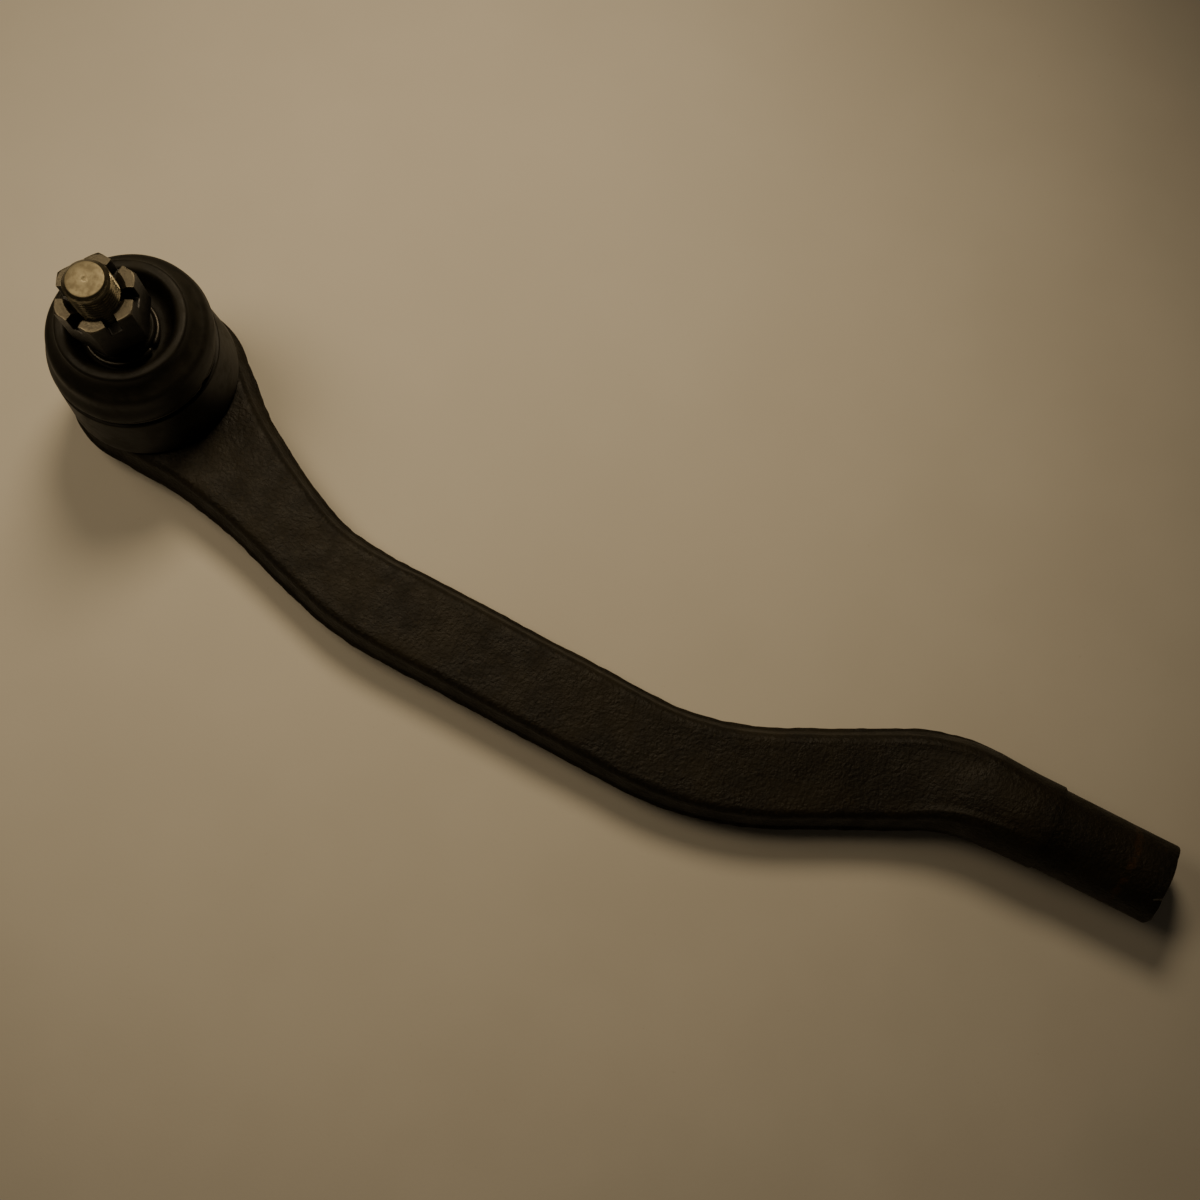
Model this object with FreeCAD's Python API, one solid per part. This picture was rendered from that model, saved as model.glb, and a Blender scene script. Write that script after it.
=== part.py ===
"""Outer tie rod end: a forged, bent arm with a ball joint at one end and a female thread at the other.

Frame, in millimetres: the origin is on the ball joint's axis, at the flat underside of the socket.
+Z runs up the stud and +X runs to the mouth of the female thread.
"""
import FreeCAD
import Part
import math
import os

Vector = FreeCAD.Vector
Z_AXIS = Vector(0, 0, 1)
X_AXIS = Vector(1, 0, 0)

# --- arm centreline, seen from above: straight runs joined by bends -------------------------------
THREAD_END_X = 308.0
CENTRELINE = ((0.0, 0.0), (72.0, -27.6), (187.0, -29.6), (246.0, 0.0), (THREAD_END_X, 0.0))
BEND_RADII = (100.0, 90.0, 46.0)

# --- forged section -------------------------------------------------------------------------------
ARM_HALF_WIDTH = 13.7
ARM_HEIGHT = 15.0
ARM_UNDERSIDE = 0.15
FLASH_HALF_HEIGHT = 0.5
FLASH_FOOT = 0.3
FLASH_PROUD = 0.7
DRAFT = 1.3
CORNER = 2.6
ROUND_POINTS = 5

# --- eye that holds the socket --------------------------------------------------------------------
EYE_R = 25.2
EYE_HEIGHT = 16.4
EYE_DRAFT = 1.8
EYE_EDGE_BREAK = 1.2
SOCKET_R = 20.3
SOCKET_TOP = 36.6
RING_GROOVE_Z = 35.0
RING_GROOVE_R = 19.1
RING_GROOVE_HALF = 0.9
SOCKET_LAND_STEP = 0.3
SOCKET_TOP_CHAMFER = 0.6

# --- ball, seats and spring -----------------------------------------------------------------------
BALL_R = 13.0
BALL_Z = 22.0
BALL_GAP = 0.12
SEAT_R = 16.0
SEAT_GAP = 0.08
SEAT_SPLIT = 0.2
BORE_SHOULDER_Z = 29.0
THROAT_R = 12.2
THROAT_Z = 33.4
FLARE_R = 15.4
THROAT_LAND = 0.6
SEAT_LIP_RISE = 7.6
SEAT_LIP_CHAMFER = (0.5, 0.3)
SEAT_ARC_RISE = 4.2
UPPER_SEAT_DROP = 1.4
UPPER_SEAT_SIDE_GAP = 0.12
LOWER_SEAT_WEB = 2.3
LOWER_SEAT_CHAMFER = 1.0
LOWER_SEAT_ARC_DROP = 9.0
GREASE_HOLE_R = 3.5
SPRING_THICK = 1.1
SPRING_OUTER_GAP = 0.4
SPRING_INNER_R = 6.5
SPRING_FLAT = 1.4
SPRING_LOW_GAP = 0.08

# --- cover plate and the rim that holds it --------------------------------------------------------
COVER_R = 17.4
COVER_LOW = 1.2
COVER_THICK = 2.0
COVER_DISH_R = 10.5
COVER_DISH_SLOPE = 2.4
COVER_STEP = 0.8
RIM_R = 15.6
RIM_FLARE = 1.2

# --- ball stud ------------------------------------------------------------------------------------
NECK_R = 6.5
NECK_TOP = 37.0
TAPER_LOW = 39.0
TAPER_TOP = 52.0
TAPER_PER_LENGTH = 1.0 / 8.0
TAPER_SMALL_R = 6.2
THREAD_R = 6.0
THREAD_LOW = 52.6
THREAD_DEPTH = 0.6
THREAD_RUN_IN = 0.5
UNDERCUT_RUN_OUT = 0.3
UNDERCUT_LAND = 0.1
STUD_TOP = 75.0
STUD_CHAMFER = 1.4
COTTER_R = 1.6
COTTER_Z = 64.2
CUT_PAST = 1.0

# --- castle nut -----------------------------------------------------------------------------------
NUT_FLATS = 19.0
NUT_LOW = 52.9
NUT_HEIGHT = 14.6
NUT_BORE_GAP = 0.06
NUT_SLOTS = 6
NUT_SLOT_WIDTH = 3.2
NUT_SLOT_DEPTH = 5.2
NUT_TURN = -3.0
NUT_CHAMFER_SLOPE = 30.0
NUT_CHAMFER_FLAT = 1.07
NUT_COUNTERSINK = 0.7
NUT_CROWN_SINK = 1.7

# --- boot and its rings ---------------------------------------------------------------------------
BOOT_LOW = 16.8
SKIRT_LOW_R = 24.0
SKIRT_TOP_R = 22.5
SKIRT_TOP_Z = 34.2
BOOT_WALL = 1.9
DOME_R = 22.5
DOME_Z = 40.0
SHOULDER_R = 15.6
SHOULDER_Z = 50.0
VALLEY_R = 10.8
VALLEY_Z = 43.8
NECK_LOW = 42.2
NECK_HIGH = 47.2
LIP_GAP = 0.12
INSIDE_GAP = 0.1
TONGUE_FLANK_GAP = 0.3
SKIRT_EDGE = (0.6, 0.8)
DOME_SPRING = (0.5, 0.5)
DOME_ARC_DROP = 0.5
DOME_TOP = (1.4, 4.4)
SHOULDER_OUT = (2.2, 2.6)
SHOULDER_IN = 2.0
VALLEY_EDGE = (0.8, 0.6)
NECK_BEAD_LOW = 1.2
NECK_BEAD = (0.5, 0.6)
VALLEY_UNDER = 2.2
SHOULDER_UNDER = 3.9
SHOULDER_UNDER_OUT = 1.2
DOME_UNDER = 1.8
DOME_UNDER_LOW = 1.0
SEAL_LIP_RISE = 0.2
BASE_RING_WIRE_R = 0.65
BASE_RING_R = 21.2
NECK_RING_WIRE_R = 0.7
NECK_RING_R = 9.3
NECK_RING_Z = 45.2

# --- female thread, modelled at its minor radius --------------------------------------------------
BOSS_R = 11.3
BOSS_Z = 11.4
BOSS_START_X = 258.0
ROD_BORE_R = 6.19
ROD_BORE_DEPTH = 36.0
ROD_MOUTH_CHAMFER = 1.2
DRILL_POINT = 3.4

# Stations along the arm: distance from the ball axis, half width, top height, roundness from 0 to 1.
EYE_FLARE = ((6.0, 24.0, 16.4, 0.0), (16.0, 21.2, 16.4, 0.0), (27.0, 17.3, 16.3, 0.0),
             (40.0, 14.6, 16.0, 0.0), (54.0, 12.9, 15.5, 0.0), (68.0, 12.3, ARM_HEIGHT, 0.0),
             (84.0, 13.2, ARM_HEIGHT, 0.0))
LEVEL_RUN = tuple((s, ARM_HALF_WIDTH, ARM_HEIGHT, 0.0) for s in range(100, 231, 13))
BOSS_BLEND = ((244.0, 13.9, 16.2, 0.1), (255.0, 13.6, 18.4, 0.3), (266.0, 13.0, 20.9, 0.6),
              (276.0, 12.3, 22.4, 0.85), (285.0, 11.9, 22.9, 1.0))


def centreline_point(distance):
    """Point and direction on the centreline at a distance from the ball axis."""
    corners = [Vector(x, y, 0) for x, y in CENTRELINE]
    start = corners[0]
    left = distance
    for i, radius in enumerate(BEND_RADII):
        corner = corners[i + 1]
        into = (corner - corners[i]).normalize()
        out = (corners[i + 2] - corner).normalize()
        turn = into.getAngle(out)
        side = 1.0 if into.cross(out).z > 0 else -1.0
        tangent = radius * math.tan(turn / 2)
        run = (corner - start).Length - tangent
        if left <= run:
            return start + into * left, into
        left -= run
        if left <= radius * turn:
            angle = side * left / radius
            normal = Vector(-into.y, into.x, 0) * side
            centre = corner - into * tangent + normal * radius
            spoke = FreeCAD.Rotation(Z_AXIS, math.degrees(angle)).multVec(normal * -radius)
            return centre + spoke, FreeCAD.Rotation(Z_AXIS, math.degrees(angle)).multVec(into)
        left -= radius * turn
        start = corner + out * tangent
    return start + out * left, out


def section_half(half_width, half_height, roundness):
    """Quarter outline from the flash to the top centre, as (across, up) points."""
    points = [(half_width, FLASH_HALF_HEIGHT), (half_width - FLASH_PROUD, FLASH_HALF_HEIGHT + FLASH_FOOT)]
    side = half_width - FLASH_PROUD - DRAFT
    for i in range(ROUND_POINTS):
        angle = math.radians(90.0 * i / (ROUND_POINTS - 1))
        across = side - CORNER + CORNER * math.cos(angle)
        points.append((across, half_height - CORNER + CORNER * math.sin(angle)))
    rounded = []
    for i, (across, up) in enumerate(points):
        angle = math.atan2(up, across * half_height / half_width)
        circle = (half_width * math.cos(angle), half_height * math.sin(angle))
        rounded.append(tuple(a + (c - a) * roundness for a, c in zip((across, up), circle)))
    return rounded


def section_wire(distance, half_width, top, roundness):
    """Closed outline of the forging, square to the centreline."""
    centre, direction = centreline_point(distance)
    across_dir = Vector(-direction.y, direction.x, 0)
    half_height = (top - ARM_UNDERSIDE) / 2
    quarter = section_half(half_width, half_height, roundness)
    upper = quarter + [(-a, u) for a, u in reversed(quarter)]
    outline = upper + [(a, -u) for a, u in reversed(upper)]
    middle = ARM_UNDERSIDE + half_height
    points = [centre + across_dir * a + Z_AXIS * (middle + u) for a, u in outline]
    return Part.makePolygon(points + points[:1])


def revolve(points):
    """Solid of revolution about Z from closed (radius, height) points; a 3-tuple starts an arc's middle."""
    edges = []
    ring = [Vector(p[0], 0, p[1]) for p in points]
    i = 0
    while i < len(points):
        here = ring[i]
        after = (i + 1) % len(points)
        if len(points[after]) == 3:
            end = (i + 2) % len(points)
            edges.append(Part.Arc(here, ring[after], ring[end]).toShape())
            i += 2
        else:
            edges.append(Part.LineSegment(here, ring[after]).toShape())
            i += 1
    face = Part.Face(Part.Wire(edges))
    return face.revolve(Vector(0, 0, 0), Z_AXIS, 360)


def on_ball(radius, height):
    """Distance from the stud's axis to a sphere about the ball's centre, at a height."""
    return math.sqrt(radius ** 2 - (height - BALL_Z) ** 2)


def taper_r(height):
    """Radius of the stud's taper at a height."""
    return TAPER_SMALL_R + (TAPER_TOP - height) * TAPER_PER_LENGTH / 2


def arm_blank():
    """The bent bar, from inside the eye to the start of the round boss."""
    stations = EYE_FLARE + LEVEL_RUN + BOSS_BLEND
    return Part.makeLoft([section_wire(*station) for station in stations], True, False)


def eye_blank():
    """Round eye with a draft each way from the flash, and the socket standing on it."""
    middle = EYE_HEIGHT / 2
    edge = EYE_R - FLASH_PROUD - EYE_DRAFT
    flat = edge - EYE_EDGE_BREAK
    foot = FLASH_HALF_HEIGHT + FLASH_FOOT
    groove_low = RING_GROOVE_Z - RING_GROOVE_HALF
    groove_high = RING_GROOVE_Z + RING_GROOVE_HALF
    land_r = SOCKET_R - SOCKET_LAND_STEP
    return revolve((
        (0, 0), (flat, 0), (edge, EYE_EDGE_BREAK), (EYE_R - FLASH_PROUD, middle - foot),
        (EYE_R, middle - FLASH_HALF_HEIGHT), (EYE_R, middle + FLASH_HALF_HEIGHT),
        (EYE_R - FLASH_PROUD, middle + foot), (edge, EYE_HEIGHT - EYE_EDGE_BREAK),
        (flat, EYE_HEIGHT), (SOCKET_R, EYE_HEIGHT), (SOCKET_R, groove_low),
        (RING_GROOVE_R, groove_low), (RING_GROOVE_R, groove_high), (land_r, groove_high),
        (land_r, SOCKET_TOP - SOCKET_TOP_CHAMFER), (land_r - SOCKET_TOP_CHAMFER, SOCKET_TOP),
        (0, SOCKET_TOP)))


def socket_bore():
    """Everything cut out of the eye: rim mouth, cover seat, seat bore, throat and flare."""
    cover_high = COVER_LOW + COVER_THICK
    past = SOCKET_TOP + CUT_PAST
    return revolve((
        (0, -CUT_PAST), (RIM_R + RIM_FLARE, -CUT_PAST), (RIM_R, COVER_LOW), (COVER_R, COVER_LOW),
        (COVER_R, cover_high), (SEAT_R, cover_high), (SEAT_R, BORE_SHOULDER_Z),
        (THROAT_R, THROAT_Z - THROAT_LAND), (THROAT_R, THROAT_Z), (FLARE_R, SOCKET_TOP),
        (FLARE_R, past), (0, past)))


def rod_bore():
    """Blind hole for the female thread, with a chamfered mouth and a drill point."""
    bottom = THREAD_END_X - ROD_BORE_DEPTH
    origin = Vector(bottom, 0, BOSS_Z)
    hole = Part.makeCylinder(ROD_BORE_R, ROD_BORE_DEPTH + CUT_PAST, origin, X_AXIS)
    mouth_r = ROD_BORE_R + ROD_MOUTH_CHAMFER
    mouth_start = Vector(THREAD_END_X - ROD_MOUTH_CHAMFER, 0, BOSS_Z)
    mouth = Part.makeCone(ROD_BORE_R, mouth_r, ROD_MOUTH_CHAMFER, mouth_start, X_AXIS)
    point = Part.makeCone(ROD_BORE_R, 0, DRILL_POINT, origin, -X_AXIS)
    return hole.fuse([mouth, point])


def forged_arm():
    """One forging: eye and socket, bent arm, and boss with the female thread."""
    boss_length = THREAD_END_X - BOSS_START_X
    boss = Part.makeCylinder(BOSS_R, boss_length, Vector(BOSS_START_X, 0, BOSS_Z), X_AXIS)
    blank = eye_blank().fuse([arm_blank(), boss])
    return blank.cut([socket_bore(), rod_bore()]).removeSplitter()


def upper_seat():
    """Bearing seat over the ball, coned to suit the throat."""
    low = BALL_Z + SEAT_SPLIT / 2
    ball = BALL_R + BALL_GAP
    outer = SEAT_R - SEAT_GAP
    top = THROAT_Z - UPPER_SEAT_DROP
    lip_z = BALL_Z + SEAT_LIP_RISE
    lip_r = on_ball(ball, lip_z)
    mid_z = BALL_Z + SEAT_ARC_RISE
    slope = (SEAT_R - THROAT_R) / (THROAT_Z - THROAT_LAND - BORE_SHOULDER_Z)
    top_r = SEAT_R - slope * (top - BORE_SHOULDER_Z) - UPPER_SEAT_SIDE_GAP
    return revolve(((on_ball(ball, low), low), (outer, low), (outer, BORE_SHOULDER_Z - SEAT_GAP),
                    (top_r, top - SEAT_GAP), (lip_r + SEAT_LIP_CHAMFER[0], lip_z + SEAT_LIP_CHAMFER[1]),
                    (lip_r, lip_z), (on_ball(ball, mid_z), mid_z, "arc")))


def lower_seat():
    """Cup under the ball, with a grease hole in the middle."""
    high = BALL_Z - SEAT_SPLIT / 2
    ball = BALL_R + BALL_GAP
    outer = SEAT_R - SEAT_GAP
    bottom = BALL_Z - BALL_R - LOWER_SEAT_WEB
    hole_z = BALL_Z - math.sqrt(ball ** 2 - GREASE_HOLE_R ** 2)
    mid_z = BALL_Z - LOWER_SEAT_ARC_DROP
    return revolve(((on_ball(ball, high), high), (on_ball(ball, mid_z), mid_z, "arc"),
                    (GREASE_HOLE_R, hole_z), (GREASE_HOLE_R, bottom), (outer - LOWER_SEAT_CHAMFER, bottom),
                    (outer, bottom + LOWER_SEAT_CHAMFER), (outer, high)))


def preload_spring():
    """Coned disc spring between the cover plate and the lower seat."""
    low = COVER_LOW + COVER_THICK + SPRING_LOW_GAP
    high = BALL_Z - BALL_R - LOWER_SEAT_WEB
    outer = SEAT_R - SPRING_OUTER_GAP
    inner = SPRING_INNER_R
    return revolve(((outer, low), (outer, low + SPRING_THICK), (inner + SPRING_FLAT, high), (inner, high),
                    (inner, high - SPRING_THICK), (outer - SPRING_FLAT, low)))


def cover_plate():
    """Dished plate that closes the socket; its flange sits behind the swaged rim."""
    high = COVER_LOW + COVER_THICK
    dish = COVER_DISH_R + COVER_DISH_SLOPE
    return revolve(((0, 0), (COVER_DISH_R, 0), (dish, COVER_LOW), (COVER_R, COVER_LOW), (COVER_R, high),
                    (dish - COVER_STEP, high), (COVER_DISH_R - COVER_STEP, COVER_THICK), (0, COVER_THICK)))


def ball_stud():
    """Ball, neck, 1 in 8 taper and thread in one piece, with a cross hole for a cotter pin."""
    foot = math.sqrt(BALL_R ** 2 - NECK_R ** 2)
    root_r = THREAD_R - THREAD_DEPTH
    body = revolve((
        (0, BALL_Z - BALL_R), (BALL_R, BALL_Z, "arc"), (NECK_R, BALL_Z + foot), (NECK_R, NECK_TOP),
        (taper_r(TAPER_LOW), TAPER_LOW), (TAPER_SMALL_R, TAPER_TOP), (root_r, TAPER_TOP + UNDERCUT_RUN_OUT),
        (root_r, THREAD_LOW - UNDERCUT_LAND), (THREAD_R, THREAD_LOW + THREAD_RUN_IN),
        (THREAD_R, STUD_TOP - STUD_CHAMFER), (THREAD_R - STUD_CHAMFER, STUD_TOP), (0, STUD_TOP)))
    hole = Part.makeCylinder(COTTER_R, 4 * THREAD_R, Vector(-2 * THREAD_R, 0, COTTER_Z), X_AXIS)
    hole.rotate(Vector(0, 0, 0), Z_AXIS, NUT_TURN + 180.0 / NUT_SLOTS)
    return body.cut(hole)


def nut_bore():
    """Clearance for the stud's thread, countersunk at both faces and wider at the crown."""
    high = NUT_LOW + NUT_HEIGHT
    bore = THREAD_R + NUT_BORE_GAP
    sunk = bore + NUT_COUNTERSINK
    crown = bore + NUT_CROWN_SINK
    return revolve((
        (0, NUT_LOW - CUT_PAST), (sunk, NUT_LOW - CUT_PAST), (sunk, NUT_LOW),
        (bore, NUT_LOW + NUT_COUNTERSINK), (bore, high - NUT_CROWN_SINK), (crown, high),
        (crown, high + CUT_PAST), (0, high + CUT_PAST)))


def castle_nut():
    """Hexagon nut, chamfered at both ends, with slots through the middles of its flats."""
    high = NUT_LOW + NUT_HEIGHT
    corner_r = NUT_FLATS / 2 / math.cos(math.radians(30))
    turns = [math.radians(NUT_TURN + 60 * i) for i in range(7)]
    outline = [Vector(corner_r * math.cos(a), corner_r * math.sin(a), NUT_LOW) for a in turns]
    blank = Part.Face(Part.makePolygon(outline)).extrude(Vector(0, 0, NUT_HEIGHT))
    flat_r = NUT_FLATS / 2 * NUT_CHAMFER_FLAT
    past_r = corner_r + CUT_PAST
    drop = (past_r - flat_r) * math.tan(math.radians(NUT_CHAMFER_SLOPE))
    blank = blank.common(revolve((
        (0, NUT_LOW), (flat_r, NUT_LOW), (past_r, NUT_LOW + drop), (past_r, high - drop),
        (flat_r, high), (0, high))))
    cutters = [nut_bore()]
    for i in range(NUT_SLOTS // 2):
        slot = Part.makeBox(3 * NUT_FLATS, NUT_SLOT_WIDTH, NUT_SLOT_DEPTH + CUT_PAST,
                            Vector(-1.5 * NUT_FLATS, -NUT_SLOT_WIDTH / 2, high - NUT_SLOT_DEPTH))
        slot.rotate(Vector(0, 0, 0), Z_AXIS, NUT_TURN + (2 * i + 1) * 180.0 / NUT_SLOTS)
        cutters.append(slot)
    return blank.cut(cutters)


def boot_outside():
    """Outline of the boot from the skirt's foot, over the dome and shoulder, to the neck's bore."""
    groove_r = BASE_RING_R - BASE_RING_WIRE_R
    ring_low = RING_GROOVE_Z - BASE_RING_WIRE_R
    ring_high = RING_GROOVE_Z + BASE_RING_WIRE_R
    neck_r = NECK_RING_R - NECK_RING_WIRE_R
    return (
        (SOCKET_R + INSIDE_GAP, BOOT_LOW), (SKIRT_LOW_R - SKIRT_EDGE[0], BOOT_LOW),
        (SKIRT_LOW_R, BOOT_LOW + SKIRT_EDGE[1]), (SKIRT_TOP_R, SKIRT_TOP_Z),
        (groove_r, ring_low), (groove_r, ring_high),
        (DOME_R - DOME_SPRING[0], ring_high + DOME_SPRING[1]), (DOME_R, DOME_Z - DOME_ARC_DROP, "arc"),
        (DOME_R - DOME_TOP[0], DOME_Z + DOME_TOP[1]),
        (SHOULDER_R + SHOULDER_OUT[0], SHOULDER_Z - SHOULDER_OUT[1]), (SHOULDER_R, SHOULDER_Z, "arc"),
        (SHOULDER_R - SHOULDER_IN, SHOULDER_Z - SHOULDER_IN),
        (VALLEY_R + VALLEY_EDGE[0], VALLEY_Z + VALLEY_EDGE[1]), (VALLEY_R, VALLEY_Z),
        (neck_r, VALLEY_Z), (neck_r, NECK_HIGH - NECK_BEAD_LOW),
        (neck_r + NECK_BEAD[0], NECK_HIGH - NECK_BEAD[1]), (neck_r, NECK_HIGH))


def boot_inside():
    """Outline of the boot's inner wall, from the neck's bore down to the tongue in the socket's groove."""
    inside = SOCKET_R + INSIDE_GAP
    tongue_r = RING_GROOVE_R + INSIDE_GAP
    tongue_half = RING_GROOVE_HALF - TONGUE_FLANK_GAP
    wall = BOOT_WALL
    return (
        (taper_r(NECK_HIGH) + LIP_GAP, NECK_HIGH), (taper_r(NECK_LOW) + LIP_GAP, NECK_LOW),
        (VALLEY_R, NECK_LOW), (VALLEY_R + VALLEY_UNDER, VALLEY_Z),
        (SHOULDER_R - wall, SHOULDER_Z - SHOULDER_UNDER),
        (SHOULDER_R + SHOULDER_UNDER_OUT, SHOULDER_Z - SHOULDER_OUT[1] - wall),
        (DOME_R - DOME_TOP[0] - wall, DOME_Z + DOME_UNDER), (DOME_R - wall, DOME_Z - DOME_UNDER_LOW),
        (inside, SOCKET_TOP + SEAL_LIP_RISE), (inside, RING_GROOVE_Z + tongue_half),
        (tongue_r, RING_GROOVE_Z + tongue_half), (tongue_r, RING_GROOVE_Z - tongue_half),
        (inside, RING_GROOVE_Z - tongue_half))


def dust_boot():
    """Rubber boot: skirt over the socket, groove, dome, rolled shoulder, and a neck on the stud's taper."""
    return revolve(boot_outside() + boot_inside())


def boot_base_ring():
    """Wire ring that clamps the boot into the socket's groove."""
    return Part.makeTorus(BASE_RING_R, BASE_RING_WIRE_R, Vector(0, 0, RING_GROOVE_Z), Z_AXIS)


def boot_neck_ring():
    """Wire ring that holds the boot's neck on the taper, down in the recess."""
    return Part.makeTorus(NECK_RING_R, NECK_RING_WIRE_R, Vector(0, 0, NECK_RING_Z), Z_AXIS)


PIECES = (forged_arm, cover_plate, preload_spring, lower_seat, upper_seat, ball_stud, castle_nut,
          dust_boot, boot_base_ring, boot_neck_ring)

os.makedirs("parts", exist_ok=True)
for make in PIECES:
    shape = make()
    shape.exportStep("parts/%s.step" % make.__name__)
    print(make.__name__, len(shape.Solids), shape.isValid(), round(shape.Volume, 1), shape.BoundBox)
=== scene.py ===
"""Tie rod end: the looks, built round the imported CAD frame. Metres, unless a name or comment says mm."""

import math

import bmesh
import bpy
import numpy as np
from mathutils import Matrix, Vector, noise


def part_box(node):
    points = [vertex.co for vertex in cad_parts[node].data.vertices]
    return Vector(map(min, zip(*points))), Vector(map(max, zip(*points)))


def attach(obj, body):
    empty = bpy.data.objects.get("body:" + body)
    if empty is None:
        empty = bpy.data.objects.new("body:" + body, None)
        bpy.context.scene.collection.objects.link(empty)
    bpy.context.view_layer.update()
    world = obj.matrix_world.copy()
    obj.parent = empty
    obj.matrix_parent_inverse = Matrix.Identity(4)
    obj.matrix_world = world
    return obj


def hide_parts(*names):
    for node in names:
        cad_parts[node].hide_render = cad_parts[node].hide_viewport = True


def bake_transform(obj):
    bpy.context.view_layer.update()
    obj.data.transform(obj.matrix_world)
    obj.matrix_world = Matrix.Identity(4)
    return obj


MM = 0.001
TAU = 2 * math.pi

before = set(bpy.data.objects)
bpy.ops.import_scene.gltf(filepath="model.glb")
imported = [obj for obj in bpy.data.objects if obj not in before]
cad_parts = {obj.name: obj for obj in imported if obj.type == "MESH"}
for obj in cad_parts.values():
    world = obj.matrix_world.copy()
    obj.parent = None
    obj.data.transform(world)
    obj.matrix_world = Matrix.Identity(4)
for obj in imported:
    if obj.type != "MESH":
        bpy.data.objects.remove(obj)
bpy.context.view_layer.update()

# --- places read from the frame --------------------------------------------------------------------
ARM_LOW, ARM_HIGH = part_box("forged_arm")
STUD_LOW, STUD_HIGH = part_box("ball_stud")
NUT_LOW, NUT_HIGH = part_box("castle_nut")
MOUTH_X = ARM_HIGH[0]
EYE_R = -ARM_LOW[0]
SOCKET_TOP = ARM_HIGH[2]
STUD_TOP = STUD_HIGH[2]
BALL_R = STUD_HIGH[0]
BALL_Z = STUD_LOW[2] + BALL_R

# --- the forging's plan and section, as in the CAD model -------------------------------------------
CENTRELINE_MM = ((0.0, 0.0), (72.0, -27.6), (187.0, -29.6), (246.0, 0.0), (MOUTH_X / MM, 0.0))
BEND_RADII_MM = (100.0, 90.0, 46.0)
EYE_HEIGHT = 16.4
ARM_UNDERSIDE = 0.15
BOSS_R = 11.3
BOSS_Z = 11.4
ROD_BORE_R = 6.19
ROD_BORE_DEPTH = 36.0
ROD_THREAD_PITCH = 1.5
STUD_THREAD_PITCH = 1.25

# Stations along the arm, mm: distance from the ball axis, half width, top height, roundness from 0 to 1.
STATIONS = ((6.0, 24.0, 16.3, 0.0), (16.0, 21.2, 16.3, 0.0), (27.0, 17.3, 16.2, 0.0),
            (40.0, 14.6, 16.0, 0.0), (54.0, 12.9, 15.5, 0.0),
            (68.0, 12.3, 15.0, 0.0), (84.0, 13.2, 15.0, 0.0), (100.0, 13.7, 15.0, 0.0),
            (165.0, 13.7, 15.0, 0.0), (230.0, 13.7, 15.0, 0.0), (244.0, 13.9, 16.2, 0.1),
            (255.0, 13.6, 18.4, 0.3), (266.0, 13.0, 20.9, 0.6), (276.0, 12.3, 22.4, 0.85),
            (285.0, 11.9, 22.9, 1.0))

# ---------------------------------------------------------------------------------------------------
# Mesh helpers
# ---------------------------------------------------------------------------------------------------


def new_object(name, verts, faces, smooth_angle=35.0):
    """Mesh object from vertices in millimetres, shaded smooth with sharp edges past an angle."""
    mesh = bpy.data.meshes.new(name)
    mesh.from_pydata([tuple(c * MM for c in v) for v in verts], [], faces)
    mesh.update()
    obj = bpy.data.objects.new(name, mesh)
    bpy.context.scene.collection.objects.link(obj)
    shade(obj, smooth_angle)
    return obj


def shade(obj, smooth_angle=35.0):
    """Consistent outward normals, smooth shading and sharp edges past an angle."""
    bm = bmesh.new()
    bm.from_mesh(obj.data)
    bmesh.ops.recalc_face_normals(bm, faces=bm.faces)
    if bm.calc_volume(signed=True) < 0:
        bmesh.ops.reverse_faces(bm, faces=bm.faces)
    bm.to_mesh(obj.data)
    bm.free()
    obj.data.shade_smooth()
    obj.data.set_sharp_from_angle(angle=math.radians(smooth_angle))


def lathe(name, profile, segments=128, shape=None, smooth_angle=35.0):
    """Solid of revolution about Z from a closed (radius, height) outline in mm; shape moves each point."""
    verts = []
    rows = []
    for radius, height in profile:
        if radius < 1e-6:
            rows.append([len(verts)])
            verts.append((0.0, 0.0, height))
            continue
        row = []
        for i in range(segments):
            angle = TAU * i / segments
            r, z = shape(radius, height, angle) if shape else (radius, height)
            row.append(len(verts))
            verts.append((r * math.cos(angle), r * math.sin(angle), z))
        rows.append(row)
    faces = []
    closed = len(rows[0]) > 1
    pairs = zip(rows, rows[1:] + rows[:1]) if closed else zip(rows, rows[1:])
    for low, high in pairs:
        for i in range(segments):
            j = (i + 1) % segments
            if len(low) == 1:
                faces.append((low[0], high[j], high[i]))
            elif len(high) == 1:
                faces.append((low[i], low[j], high[0]))
            else:
                faces.append((low[i], low[j], high[j], high[i]))
    return new_object(name, verts, faces, smooth_angle)


def smooth_outline(points, per_corner=5):
    """Outline with each (radius, height, rounding) corner replaced by a round of that radius, in mm."""
    out = []
    count = len(points)
    for i, point in enumerate(points):
        here = Vector(point[:2])
        rounding = point[2] if len(point) > 2 else 0.0
        if rounding <= 0:
            out.append(tuple(here))
            continue
        before = Vector(points[i - 1][:2]) - here
        after = Vector(points[(i + 1) % count][:2]) - here
        reach = min(rounding, 0.49 * before.length, 0.49 * after.length)
        start = here + before.normalized() * reach
        end = here + after.normalized() * reach
        for step in range(per_corner + 1):
            t = step / per_corner
            out.append(tuple(start * (1 - t) ** 2 + here * 2 * t * (1 - t) + end * t ** 2))
    return out


def divide(profile, longest, closed=True):
    """Adds points to an outline, so that no run is longer than a length."""
    out = []
    ends = profile[1:] + profile[:1] if closed else profile[1:]
    for a, b in zip(profile, ends):
        steps = max(1, math.ceil(math.dist(a, b) / longest))
        for i in range(steps):
            out.append((a[0] + (b[0] - a[0]) * i / steps, a[1] + (b[1] - a[1]) * i / steps))
    if not closed:
        out.append(profile[-1])
    return out


def boolean(obj, tool, operation):
    """Applies one exact boolean and removes its tool."""
    modifier = obj.modifiers.new("cut", "BOOLEAN")
    modifier.operation = operation
    modifier.solver = "EXACT"
    modifier.object = tool
    apply_modifiers(obj)
    bpy.data.objects.remove(tool)


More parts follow.
